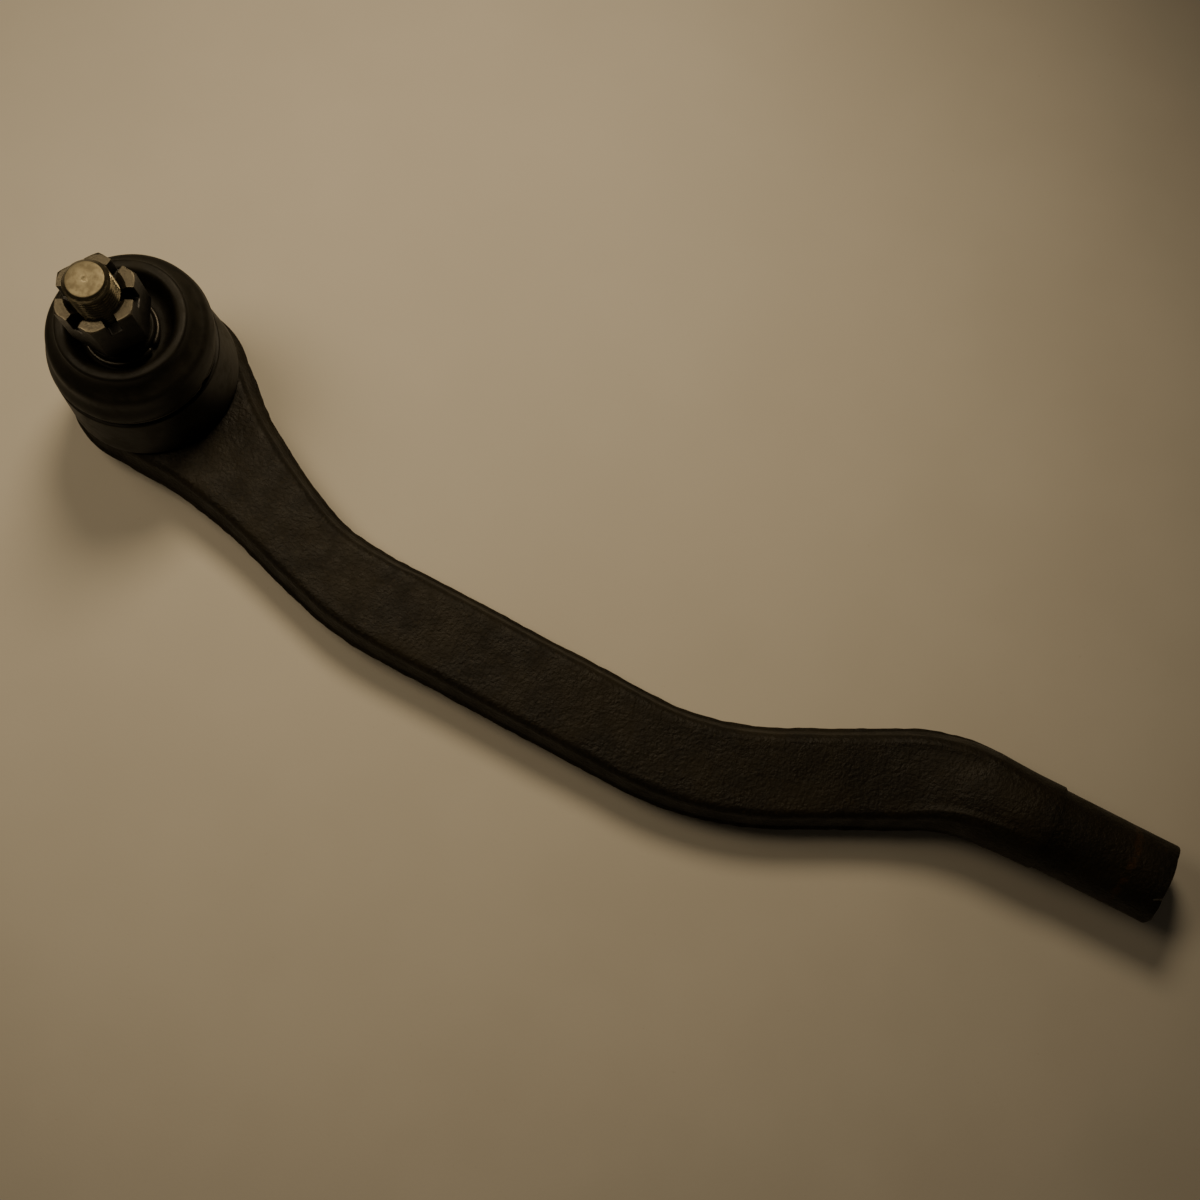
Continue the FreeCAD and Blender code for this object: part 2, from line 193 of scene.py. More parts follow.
def apply_modifiers(obj):
    """Replaces the object's mesh by its evaluated one."""
    graph = bpy.context.evaluated_depsgraph_get()
    mesh = bpy.data.meshes.new_from_object(obj.evaluated_get(graph))
    obj.modifiers.clear()
    obj.data = mesh


def remesh(obj, voxel, smoothing):
    """Voxel remesh, in mm, then a few rounds of smoothing: soft forged or moulded edges."""
    modifier = obj.modifiers.new("remesh", "REMESH")
    modifier.mode = "VOXEL"
    modifier.voxel_size = voxel * MM
    if smoothing:
        rounds = obj.modifiers.new("smooth", "SMOOTH")
        rounds.factor = 0.5
        rounds.iterations = smoothing
    apply_modifiers(obj)


def roughen(obj, layers, mask=None):
    """Moves vertices along their normals by layered noise; layers are (feature size mm, height mm)."""
    mesh = obj.data
    normals = [v.normal.copy() for v in mesh.vertices]
    for vertex, normal in zip(mesh.vertices, normals):
        weight = mask(vertex.co) if mask else 1.0
        if weight <= 0:
            continue
        shift = sum(noise.noise(vertex.co / (size * MM)) * height for size, height in layers)
        vertex.co += normal * (shift * weight * MM)
    mesh.update()


def thread_depth(angle, height, pitch, start, crest=0.18, root=0.22):
    """How deep a 60 degree thread is cut at a point, from 0 at the crest to 1 at the root."""
    phase = ((height - start) / pitch - angle / TAU) % 1.0
    ramp = (1.0 - crest - root) / 2
    if phase < ramp:
        return phase / ramp
    if phase < ramp + root:
        return 1.0
    if phase < 2 * ramp + root:
        return 1.0 - (phase - ramp - root) / ramp
    return 0.0


# ---------------------------------------------------------------------------------------------------
# Forged arm
# ---------------------------------------------------------------------------------------------------
FLASH_PROUD = 0.85
FLASH_HALF = 0.55
DRAFT = 1.35
CORNER = 2.7
STATION_STEP = 1.1
SHEAR_RAGGED = 0.3
FLAT_STEPS = 18
MOUTH_EDGE = 0.9


def centreline(distance):
    """Point and direction on the centreline, mm, at a distance from the ball axis."""
    corners = [Vector(c) for c in CENTRELINE_MM]
    start = corners[0]
    left = distance
    for i, radius in enumerate(BEND_RADII_MM):
        corner = corners[i + 1]
        into = (corner - corners[i]).normalized()
        out = (corners[i + 2] - corner).normalized()
        turn = -into.angle_signed(out)
        tangent = radius * math.tan(abs(turn) / 2)
        run = (corner - start).length - tangent
        if left <= run:
            return start + into * left, into
        left -= run
        if left <= radius * abs(turn):
            side = math.copysign(1.0, turn)
            centre = corner - into * tangent + Vector((-into.y, into.x)) * side * radius
            spin = Matrix.Rotation(side * left / radius, 2)
            return centre + spin @ (Vector((into.y, -into.x)) * side * radius), spin @ into
        left -= radius * abs(turn)
        start = corner + out * tangent
    return start + out * left, out


def ease(x, xs, ys):
    """Smooth curve through points, with the slopes of a monotone cubic."""
    xs = np.array(xs)
    ys = np.array(ys)
    slopes = np.diff(ys) / np.diff(xs)
    middle = np.where(slopes[:-1] * slopes[1:] > 0, (slopes[:-1] + slopes[1:]) / 2, 0.0)
    tangents = np.concatenate(([slopes[0]], middle, [slopes[-1]]))
    i = int(np.clip(np.searchsorted(xs, x) - 1, 0, len(xs) - 2))
    span = xs[i + 1] - xs[i]
    t = (x - xs[i]) / span
    return float((2 * t ** 3 - 3 * t ** 2 + 1) * ys[i] + (t ** 3 - 2 * t ** 2 + t) * span * tangents[i]
                 + (3 * t ** 2 - 2 * t ** 3) * ys[i + 1] + (t ** 3 - t ** 2) * span * tangents[i + 1])


def quarter_section(half_height):
    """Inset from the flash's edge and height above the parting plane, from the flash up to the flat."""
    points = [(0.0, 0.0), (0.0, FLASH_HALF * 0.6), (FLASH_PROUD * 0.35, FLASH_HALF),
              (FLASH_PROUD, FLASH_HALF + 0.35)]
    foot = points[-1]
    flank_top = (FLASH_PROUD + DRAFT, half_height - CORNER)
    points += [(foot[0] + (flank_top[0] - foot[0]) * t, foot[1] + (flank_top[1] - foot[1]) * t)
               for t in (0.25, 0.5, 0.75)]
    for i in range(9):
        angle = math.radians(90.0 * i / 8)
        points.append((flank_top[0] + CORNER * (1 - math.cos(angle)),
                       flank_top[1] + CORNER * math.sin(angle)))
    return points


def plan_stations():
    """Edge pairs along the arm, from inside the eye to the mouth of the boss.

    Each row is (left, right, half height, middle height, roundness), in mm.
    """
    rows = []
    spots = [s[0] for s in STATIONS]
    columns = [[s[k] for s in STATIONS] for k in (1, 2, 3)]
    end = centreline_length()
    distances = list(np.arange(spots[0], spots[-1], STATION_STEP)) + [spots[-1]]
    boss_start = spots[-1] + 0.6
    distances += list(np.linspace(boss_start, end - MOUTH_EDGE, 20)) + [end - MOUTH_EDGE / 3, end]
    for distance in distances:
        point, direction = centreline(distance)
        normal = Vector((-direction.y, direction.x))
        if distance < boss_start:
            width, top, roundness = (ease(distance, spots, column) for column in columns)
            low = ARM_UNDERSIDE
        else:
            trim = max(0.0, distance - (end - MOUTH_EDGE)) * 0.9
            width, top, low, roundness = BOSS_R - trim, BOSS_Z + BOSS_R - trim, BOSS_Z - BOSS_R + trim, 1.0
        rows.append((point + normal * width, point - normal * width,
                     (top - low) / 2, (top + low) / 2, roundness))
    return rows


def centreline_length():
    """Distance along the centreline to the mouth, in mm."""
    corners = [Vector(c) for c in CENTRELINE_MM]
    total = sum((b - a).length for a, b in zip(corners, corners[1:]))
    for i, radius in enumerate(BEND_RADII_MM):
        turn = abs((corners[i + 1] - corners[i]).angle_signed(corners[i + 2] - corners[i + 1]))
        total += radius * turn - 2 * radius * math.tan(turn / 2)
    return total


def edge_normals(points, inward_sign):
    """Unit vectors square to an edge, pointing into the forging."""
    normals = []
    for i in range(len(points)):
        tangent = (points[min(i + 1, len(points) - 1)] - points[max(i - 1, 0)]).normalized()
        normals.append(Vector((tangent.y, -tangent.x)) * inward_sign)
    return normals


def arm_rings():
    """Closed rings of points round the forging, one to a station, in mm."""
    rows = plan_stations()
    lefts = [row[0] for row in rows]
    rights = [row[1] for row in rows]
    left_in = edge_normals(lefts, 1.0)
    right_in = edge_normals(rights, -1.0)
    rings = []
    for i, (left, right, half, middle, roundness) in enumerate(rows):
        width = (left - right).length / 2
        section = quarter_section(half)
        sides = []
        for edge, inward in ((left, left_in[i]), (right, right_in[i])):
            side = []
            ragged = 1.0 + SHEAR_RAGGED * noise.noise(Vector((edge.x, edge.y, 0.0)) * 0.35)
            for inset, up in section:
                if inset < FLASH_PROUD:
                    inset = FLASH_PROUD - (FLASH_PROUD - inset) * ragged
                if roundness > 0:
                    angle = math.atan2(up, max(width - inset, 0.0) * half / width)
                    inset += (width * (1 - math.cos(angle)) - inset) * roundness
                    up += (half * math.sin(angle) - up) * roundness
                spot = edge + inward * inset
                side.append((spot.x, spot.y, up))
            sides.append(side)
        over = list(sides[0])
        a, b = Vector(sides[0][-1]), Vector(sides[1][-1])
        reach = (a - b).length / 2
        for j in range(1, FLAT_STEPS):
            t = j / FLAT_STEPS
            spot = a.lerp(b, t)
            arc = half
            if roundness > 0:
                arc = half * math.sqrt(max(0.0, 1 - (reach * (1 - 2 * t) / width) ** 2))
            over.append((spot.x, spot.y, spot.z + (arc - spot.z) * roundness))
        over += reversed(sides[1])
        under = [(x, y, -up) for x, y, up in reversed(over[1:-1])]
        rings.append([(x, y, middle + up) for x, y, up in over + under])
    return rings


def arm_skin():
    """The whole forging before it is machined, as one closed mesh."""
    rings = arm_rings()
    count = len(rings[0])
    verts = [point for ring in rings for point in ring]
    faces = []
    for i in range(len(rings) - 1):
        for k in range(count):
            n = (k + 1) % count
            faces.append((i * count + k, i * count + n, (i + 1) * count + n, (i + 1) * count + k))
    for first in (0, (len(rings) - 1) * count):
        for k in range(count // 2):
            quad = (k, k + 1, (count - k - 1) % count, (count - k) % count)
            faces.append(tuple(dict.fromkeys(first + corner for corner in quad)))
    return new_object("forged_arm_skin", verts, faces, 40.0)


SKIN_LAYERS = ((22.0, 0.22), (7.0, 0.10), (2.6, 0.05))
SOCKET_R = 20.3
GROOVE_R = 19.1
GROOVE_Z = 35.0
GROOVE_HALF = 0.9
THROAT_R = 12.2
THROAT_Z = 33.4
FLARE_R = 15.4
SEAT_BORE_R = 16.0
COVER_SEAT_R = 17.4
COVER_LOW_Z = 1.2
COVER_HIGH_Z = 3.2
RIM_R = 15.6
PAST = 1.0
TAP_MAJOR_R = 7.0
MOUTH_CHAMFER = 1.2
DRILL_POINT = 3.4


def eye_disc():
    """Round eye with the same flash and draft as the arm's flanks."""
    middle = EYE_HEIGHT / 2
    radius = EYE_R / MM
    over = [(radius - inset, middle + up) for inset, up in quarter_section(middle)]
    under = [(r, 2 * middle - z) for r, z in reversed(over[1:])]
    profile = [(0.0, 0.0)] + under + over + [(0.0, EYE_HEIGHT)]
    return lathe("eye_disc", divide(profile, STATION_STEP, False), 160)


def socket_blank():
    """Round socket that stands on the eye, with the groove for the boot's ring."""
    top = SOCKET_TOP / MM
    outline = ((0.0, 4.0), (SOCKET_R, 4.0), (SOCKET_R, GROOVE_Z - GROOVE_HALF, 0.2),
               (GROOVE_R, GROOVE_Z - GROOVE_HALF, 0.2), (GROOVE_R, GROOVE_Z + GROOVE_HALF, 0.2),
               (SOCKET_R - 0.3, GROOVE_Z + GROOVE_HALF, 0.2), (SOCKET_R - 0.3, top, 0.9), (0.0, top))
    return lathe("socket_blank", smooth_outline(outline))


def socket_bore():
    """Tool for the rim's mouth, the cover's seat, the seat bore, the throat and its flare."""
    top = SOCKET_TOP / MM
    past = top + PAST
    past_r = FLARE_R + PAST * (FLARE_R - THROAT_R) / (top - THROAT_Z)
    outline = ((0.0, -PAST), (RIM_R + 1.2, -PAST), (RIM_R, COVER_LOW_Z, 0.3), (COVER_SEAT_R, COVER_LOW_Z),
               (COVER_SEAT_R, COVER_HIGH_Z), (SEAT_BORE_R, COVER_HIGH_Z), (SEAT_BORE_R, 29.0),
               (THROAT_R, THROAT_Z - 0.6, 0.5), (THROAT_R, THROAT_Z, 0.5), (past_r, past), (0.0, past))
    return lathe("socket_bore", smooth_outline(outline))


def tapped_hole():
    """Tool for the rod's thread: a right-hand helix to the major radius, with a chamfered mouth."""
    mouth = MOUTH_X / MM
    bottom = mouth - ROD_BORE_DEPTH

    def helix(radius, height, angle):
        inside = mouth - height
        if radius < ROD_BORE_R - 0.01 or inside < MOUTH_CHAMFER * 0.6:
            return radius, height
        fade = min(1.0, (height - bottom) / (2 * ROD_THREAD_PITCH))
        cut = 1.0 - thread_depth(angle, height, ROD_THREAD_PITCH, bottom)
        return max(radius, ROD_BORE_R + (TAP_MAJOR_R - ROD_BORE_R) * cut * fade), height

    rise = divide([(ROD_BORE_R, bottom), (ROD_BORE_R, mouth - MOUTH_CHAMFER)], ROD_THREAD_PITCH / 12, False)
    profile = [(0.0, bottom - DRILL_POINT), (ROD_BORE_R - 0.1, bottom - 0.1)] + rise
    mouth_r = ROD_BORE_R + MOUTH_CHAMFER
    profile += [(mouth_r, mouth), (mouth_r, mouth + PAST), (0.0, mouth + PAST)]
    tool = lathe("tapped_hole", profile, 96, helix)
    tool.data.transform(Matrix.Translation((0, 0, BOSS_Z * MM)) @ Matrix.Rotation(math.radians(90), 4, "Y"))
    shade(tool)
    return tool


def build_arm():
    """The whole forging: rough skin, socket, bores and thread."""
    arm = arm_skin()
    boolean(arm, eye_disc(), "UNION")
    roughen(arm, SKIN_LAYERS, lambda co: min(1.0, max(0.0, (MOUTH_X - co.x) / (3 * MM))))
    boolean(arm, socket_blank(), "UNION")
    boolean(arm, socket_bore(), "DIFFERENCE")
    boolean(arm, tapped_hole(), "DIFFERENCE")
    arm.name = "forging_skin"
    shade(arm, 38.0)
    return arm


# ---------------------------------------------------------------------------------------------------
# Ball stud and castle nut
# ---------------------------------------------------------------------------------------------------
NECK_R = 6.5
NECK_TOP = 37.0
TAPER_LOW = 39.0
TAPER_TOP = 52.0
TAPER_LOW_R = 7.0125
TAPER_SMALL_R = 6.2
THREAD_R = 6.0
THREAD_ROOT_R = 5.25
THREAD_LOW = 52.6
STUD_CHAMFER = 1.4
COTTER_R = 1.6
COTTER_Z = 64.2
NUT_FLATS = 19.0
NUT_SLOTS = 6
NUT_SLOT_WIDTH = 3.2
NUT_SLOT_DEPTH = 5.2
NUT_TURN = -3.0
NUT_BORE_R = 6.06
NUT_THREAD_R = 6.6
NUT_CHAMFER_R = 10.3
NUT_COUNTERSINK = 0.7
NUT_CROWN_SINK = 1.7
NUT_VOXEL = 0.17
NUT_SMOOTHING = 4


def build_stud():
    """Ball, neck, taper and rolled thread, drilled for a cotter pin, with a turning centre in its end."""
    top = STUD_TOP / MM
    ball_r = BALL_R / MM
    ball_z = BALL_Z / MM
    neck_angle = math.asin(NECK_R / ball_r)
    ball = [(ball_r * math.sin(a), ball_z - ball_r * math.cos(a))
            for a in np.linspace(0.0, math.pi - neck_angle, 64)]
    neck = smooth_outline(((NECK_R, NECK_TOP, 0.6), (TAPER_LOW_R, TAPER_LOW, 0.4),
                           (TAPER_SMALL_R, TAPER_TOP, 0.2), (THREAD_ROOT_R, TAPER_TOP + 0.3, 0.1),
                           (THREAD_ROOT_R, THREAD_LOW - 0.1, 0.1)))[1:-1]
    thread_top = (THREAD_R, top - STUD_CHAMFER)
    thread = divide([(THREAD_R, THREAD_LOW + 0.5), thread_top], STUD_THREAD_PITCH / 12, False)
    chamfer = divide([thread_top, (THREAD_R - STUD_CHAMFER + 0.15, top - 0.1)], 0.12, False)[1:]
    end = [(THREAD_R - STUD_CHAMFER - 0.1, top), (2.2, top), (1.1, top - 0.1), (0.62, top - 0.12),
           (0.3, top - 0.02), (0.0, top)]

    def helix(radius, height, angle):
        if height < THREAD_LOW or radius < THREAD_R - STUD_CHAMFER:
            return radius, height
        fade = min(1.0, (height - THREAD_LOW) / STUD_THREAD_PITCH)
        cut = thread_depth(angle, height, STUD_THREAD_PITCH, THREAD_LOW)
        return min(radius, THREAD_R - (THREAD_R - THREAD_ROOT_R) * cut * fade), height

    stud = lathe("stud_turned", ball + neck + thread + chamfer + end, 144, helix, 30.0)
    reach = 4 * THREAD_R
    drill = lathe("cotter_drill", ((0.0, -reach), (COTTER_R, -reach), (COTTER_R, reach), (0.0, reach)), 48)
    turn = Matrix.Rotation(math.radians(NUT_TURN + 180.0 / NUT_SLOTS), 4, "Z")
    lay_flat = Matrix.Rotation(math.radians(90), 4, "Y")
    drill.data.transform(Matrix.Translation((0, 0, COTTER_Z * MM)) @ turn @ lay_flat)
    boolean(stud, drill, "DIFFERENCE")
    stud.name = "stud_turned"
    shade(stud, 32.0)
    return stud


def box_tool(name, size, angle, height):
    """Upright box about the stud's axis: size along, across and up, turned by an angle in degrees."""
    half = [s / 2 for s in size]
    verts = [(x, y, z) for x in (-half[0], half[0]) for y in (-half[1], half[1])
             for z in (height, height + size[2])]
    faces = [(0, 1, 3, 2), (4, 6, 7, 5), (0, 4, 5, 1), (2, 3, 7, 6), (0, 2, 6, 4), (1, 5, 7, 3)]
    tool = new_object(name, verts, faces)
    tool.data.transform(Matrix.Rotation(math.radians(angle), 4, "Z"))
    return tool


def build_nut():
    """Hexagon nut with worn edges and slots through the middles of its flats."""
    low, high = NUT_LOW[2] / MM, NUT_HIGH[2] / MM
    corner = NUT_FLATS / 2 / math.cos(math.radians(30))
    turns = [math.radians(NUT_TURN + 60 * i) for i in range(6)]
    outline = [(corner * math.cos(turn), corner * math.sin(turn)) for turn in turns]
    verts = [(x, y, z) for z in (low, high) for x, y in outline]
    faces = [tuple(range(6)), tuple(range(6, 12))]
    faces += [(i, (i + 1) % 6, 6 + (i + 1) % 6, 6 + i) for i in range(6)]
    nut = new_object("nut_worn", verts, faces)
    past = corner + 1.0
    drop = (past - NUT_CHAMFER_R) * math.tan(math.radians(30))
    cone = lathe("nut_cones", [(0.0, low), (NUT_CHAMFER_R, low), (past, low + drop), (past, high - drop),
                               (NUT_CHAMFER_R, high), (0.0, high)], 96)
    boolean(nut, cone, "INTERSECT")
    for i in range(NUT_SLOTS // 2):
        size = (3 * NUT_FLATS, NUT_SLOT_WIDTH, NUT_SLOT_DEPTH + PAST)
        slot = box_tool("nut_slot", size, NUT_TURN + (2 * i + 1) * 180.0 / NUT_SLOTS, high - NUT_SLOT_DEPTH)
        boolean(nut, slot, "DIFFERENCE")
    remesh(nut, NUT_VOXEL, NUT_SMOOTHING)

    def helix(radius, height, angle):
        if radius < NUT_BORE_R - 0.01 or radius > NUT_BORE_R + 0.01:
            return radius, height
        cut = 1.0 - thread_depth(angle, height, STUD_THREAD_PITCH, THREAD_LOW)
        return NUT_BORE_R + (NUT_THREAD_R - NUT_BORE_R) * cut, height

    rise = divide([(NUT_BORE_R, low + NUT_COUNTERSINK), (NUT_BORE_R, high - NUT_CROWN_SINK)],
                  STUD_THREAD_PITCH / 10, False)
    sunk = NUT_BORE_R + NUT_COUNTERSINK
    crown = NUT_BORE_R + NUT_CROWN_SINK
    profile = [(0.0, low - PAST), (sunk, low - PAST), (sunk, low)] + rise
    profile += [(crown, high), (crown, high + PAST), (0.0, high + PAST)]
    boolean(nut, lathe("nut_tap", profile, 96, helix), "DIFFERENCE")
    nut.name = "nut_worn"
    shade(nut, 32.0)
    return nut


# ---------------------------------------------------------------------------------------------------
# Boot, rings, cover, seats and spring
# ---------------------------------------------------------------------------------------------------
BOOT_STEP = 0.9
BASE_WIRE_R = 0.65
BASE_RING_MIDDLE_R = 21.2
NECK_WIRE_R = 0.7
NECK_RING_MIDDLE_R = 9.3
NECK_RING_Z = 45.2
SLUMP = 1.4
SLUMP_DEGREES = 79.0


def build_boot():
    """Moulded rubber boot: skirt, ring groove, bulging dome, rolled shoulder, valley and neck."""
    outline = ((20.4, 16.8, 0.3), (24.0, 16.8, 0.9), (23.2, 26.0, 6.0), (22.5, 33.9, 0.35),
               (20.48, 34.3, 0.1), (20.48, 35.7, 0.1), (22.0, 36.0, 0.6), (22.4, 38.2, 2.0),
               (21.2, 44.4, 2.4), (18.9, 46.0, 1.6), (17.3, 47.9, 1.2), (17.1, 50.0, 1.1),
               (14.3, 50.2, 1.3), (13.2, 47.6, 1.4), (12.1, 44.6, 1.2), (10.9, 43.8, 0.6),
               (8.65, 43.8, 0.3), (8.65, 46.0, 0.2), (9.1, 46.6, 0.3), (8.6, 47.2, 0.3),
               (6.64, 47.2, 0.2), (6.95, 42.2, 0.2), (10.8, 42.2, 0.6), (12.8, 43.4, 0.6),
               (14.6, 45.6, 0.8), (16.6, 43.9, 1.0), (19.4, 42.0, 1.2), (20.6, 38.9, 0.8),
               (20.4, 36.9, 0.3), (20.4, 35.6, 0.1), (19.2, 35.6, 0.2), (19.2, 34.4, 0.2),
               (20.4, 34.4, 0.1))
    profile = divide(smooth_outline(outline, 6), BOOT_STEP)

    def sag(radius, height, angle):
        spot = Vector((math.cos(angle) * 20, math.sin(angle) * 20, height))
        loose = min(1.0, max(0.0, (height - 37.0) / 4.0)) * min(1.0, max(0.0, (radius - 9.5) / 3.0))
        skirt = min(1.0, max(0.0, (33.0 - height) / 6.0)) * (1.0 if radius > 21.5 else 0.0)
        soft = noise.noise(spot / 17.0) * 0.28 * loose + noise.noise(spot / 9.0) * 0.07 * max(loose, skirt)
        slump = SLUMP * loose * math.cos(angle - math.radians(SLUMP_DEGREES))
        return radius + slump - abs(soft) * 0.6, height + soft * 0.5 * loose

    return lathe("boot_moulded", profile, 192, sag, 40.0)


def wire_ring(name, radius, wire, height, gap_degrees):
    """Ring of round wire about the stud's axis, left open by a small gap with rounded ends."""
    verts, rings = [], []
    sweep = 360.0 - gap_degrees
    steps = 160
    sides = 16
    ends = (0.35, 0.8)
    for i in range(steps + 1):
        angle = math.radians(gap_degrees / 2 + sweep * i / steps)
        edge = min(i, steps - i)
        thick = wire * (ends[edge] if edge < len(ends) else 1.0)
        ring = []
        for j in range(sides):
            turn = TAU * j / sides
            r = radius + thick * math.cos(turn)
            ring.append(len(verts))
            verts.append((r * math.cos(angle), r * math.sin(angle), height + thick * math.sin(turn)))
        rings.append(ring)
    faces = [(a[j], a[(j + 1) % sides], b[(j + 1) % sides], b[j])
             for a, b in zip(rings, rings[1:]) for j in range(sides)]
    faces += [tuple(rings[0]), tuple(reversed(rings[-1]))]
    return new_object(name, verts, faces)


def build_cover():
    """Pressed plate with a dished middle and a shallow stamped ring."""
    outline = ((0.0, 0.35), (6.0, 0.35, 0.5), (6.9, 0.0, 0.5), (10.5, 0.0, 1.0), (12.7, 1.2, 0.9),
               (17.35, 1.2, 0.3), (17.35, 3.15, 0.3), (12.1, 3.15, 0.8), (9.7, 2.0, 0.8), (0.0, 2.0))
    return lathe("cover_pressed", divide(smooth_outline(outline), 0.8, False), 144)


def build_upper_seat():
    """Bearing seat over the ball, with grease grooves down its bore."""
    ball = BALL_R / MM + 0.12
    ball_z = BALL_Z / MM
    inner = [(math.sqrt(ball ** 2 - (z - ball_z) ** 2), z)
             for z in np.linspace(ball_z + 7.6, ball_z + 0.1, 16)]
    outer = smooth_outline(((15.9, 22.1, 0.3), (15.9, 28.9, 0.3), (12.95, 31.85, 0.3),
                            (inner[0][0] + 0.5, 29.95)))[1:]
    rim = [(15.6, 22.1)]
    return lathe("seat_upper", divide(inner + rim + outer, 0.9), 144, grease_groove(ball, ball_z))


def build_lower_seat():
    """Cup under the ball, with the grease hole and the same grooves."""
    ball = BALL_R / MM + 0.12
    ball_z = BALL_Z / MM
    low = ball_z - math.sqrt(ball ** 2 - 3.5 ** 2)
    inner = [(math.sqrt(ball ** 2 - (z - ball_z) ** 2), z) for z in np.linspace(low, ball_z - 0.1, 24)]
    rest = smooth_outline(((15.9, 21.9, 0.3), (15.9, 6.75, 0.9), (3.5, 6.75, 0.3), (3.5, low, 0.2)))
    return lathe("seat_lower", divide(inner[1:] + rest, 0.9), 144, grease_groove(ball, ball_z))


def grease_groove(ball, ball_z):
    """Shape function that sinks eight shallow grooves into the ball's bearing surface."""
    def shape(radius, height, angle):
        on_ball = abs(math.hypot(radius, height - ball_z) - ball) < 0.02
        across = abs((angle / TAU * 8) % 1.0 - 0.5) * TAU / 8 * radius
        deep = 0.5 * max(0.0, 1.0 - (across / 0.9) ** 2) if on_ball else 0.0
        return radius + deep, height
    return shape


def build_spring():
    """Coned disc spring with rounded edges."""
    outline = ((15.6, 3.3, 0.2), (15.6, 4.38, 0.2), (7.9, 6.68, 0.2), (6.5, 6.68, 0.2), (6.5, 5.6, 0.2),
               (14.2, 3.3, 0.2))
    return lathe("spring_coned", divide(smooth_outline(outline), 0.8), 144)


# ---------------------------------------------------------------------------------------------------
# Materials
# ---------------------------------------------------------------------------------------------------


class Finish:
    """One material's node tree. Lengths inside it are millimetres of the object's own coordinates."""

    def __init__(self, name):
        self.material = bpy.data.materials.new(name)
        self.material.use_nodes = True
        self.tree = self.material.node_tree
        self.shader = self.tree.nodes["Principled BSDF"]
        coords = self.tree.nodes.new("ShaderNodeTexCoord")
        scale = self.tree.nodes.new("ShaderNodeVectorMath")
        scale.operation = "SCALE"
        scale.inputs["Scale"].default_value = 1 / MM
        self.link(coords.outputs["Object"], scale.inputs[0])
        self.where = scale.outputs["Vector"]

    def link(self, source, target):
        self.tree.links.new(source, target)

    def put(self, socket, value):
        if hasattr(value, "is_linked"):
            self.link(value, socket)
        else:
            socket.default_value = value

    def math(self, operation, a, b=0.0, clamp=False):
        node = self.tree.nodes.new("ShaderNodeMath")
        node.operation = operation
        node.use_clamp = clamp
        self.put(node.inputs[0], a)
        self.put(node.inputs[1], b)
        return node.outputs[0]

    def axis(self, name):
        node = self.tree.nodes.new("ShaderNodeSeparateXYZ")
        self.link(self.where, node.inputs[0])
        return node.outputs[name]

    def radius(self):
        x, y = self.axis("X"), self.axis("Y")
        return self.math("SQRT", self.math("ADD", self.math("MULTIPLY", x, x), self.math("MULTIPLY", y, y)))

    def turned(self):
        """Coordinates that are the same all round the stud's axis, for lathe marks."""
        node = self.tree.nodes.new("ShaderNodeCombineXYZ")
        self.link(self.radius(), node.inputs["X"])
        self.link(self.axis("Z"), node.inputs["Z"])
        return node.outputs[0]

    def noise(self, size, detail=3.0, roughness=0.55, where=None, distortion=0.0):
        """Noise from 0 to 1 whose features are about this many millimetres wide."""
        node = self.tree.nodes.new("ShaderNodeTexNoise")
        self.link(where or self.where, node.inputs["Vector"])
        node.inputs["Scale"].default_value = 1 / size
        node.inputs["Detail"].default_value = detail
        node.inputs["Roughness"].default_value = roughness
        node.inputs["Distortion"].default_value = distortion
        return node.outputs["Fac"]

    def span(self, value, low, high, to_low=0.0, to_high=1.0):
        """Maps a range smoothly to another, held at its ends."""
        node = self.tree.nodes.new("ShaderNodeMapRange")
        node.interpolation_type = "SMOOTHSTEP"
        self.put(node.inputs["Value"], value)
        ends = {"From Min": low, "From Max": high, "To Min": to_low, "To Max": to_high}
        for socket, number in ends.items():
            node.inputs[socket].default_value = number
        return node.outputs["Result"]

    def mix(self, factor, a, b):
        """Blends two colours."""
        node = self.tree.nodes.new("ShaderNodeMix")
        node.data_type = "RGBA"
        self.put(node.inputs["Factor"], factor)
        for socket, colour in ((node.inputs[6], a), (node.inputs[7], b)):
            self.put(socket, colour if hasattr(colour, "is_linked") else (*colour, 1.0))
        return node.outputs[2]

    def worn(self, low, high):
        """How worn the edges are, from the mesh's own edge attribute broken up by noise."""
        node = self.tree.nodes.new("ShaderNodeAttribute")
        node.attribute_name = "edge"
        patchy = self.span(self.noise(1.6), 0.3, 0.65)
        return self.span(self.math("MULTIPLY", node.outputs["Fac"], patchy), low, high)

    def bump(self, height, depth_mm, strength=1.0, under=None):
        """Bump of a real depth, optionally on top of another."""
        node = self.tree.nodes.new("ShaderNodeBump")
        node.inputs["Strength"].default_value = strength
        node.inputs["Distance"].default_value = depth_mm * MM
        self.link(height, node.inputs["Height"])
        if under:
            self.link(under, node.inputs["Normal"])
        return node.outputs["Normal"]

    def set(self, **values):
        """Plain or linked values for the shader's sockets; spaces in names are underscores."""
        for name, value in values.items():
            socket = self.shader.inputs[name.replace("_", " ")]
            if isinstance(value, tuple) and socket.type == "RGBA":
                value = (*value, 1.0)
            self.put(socket, value)
        return self.material


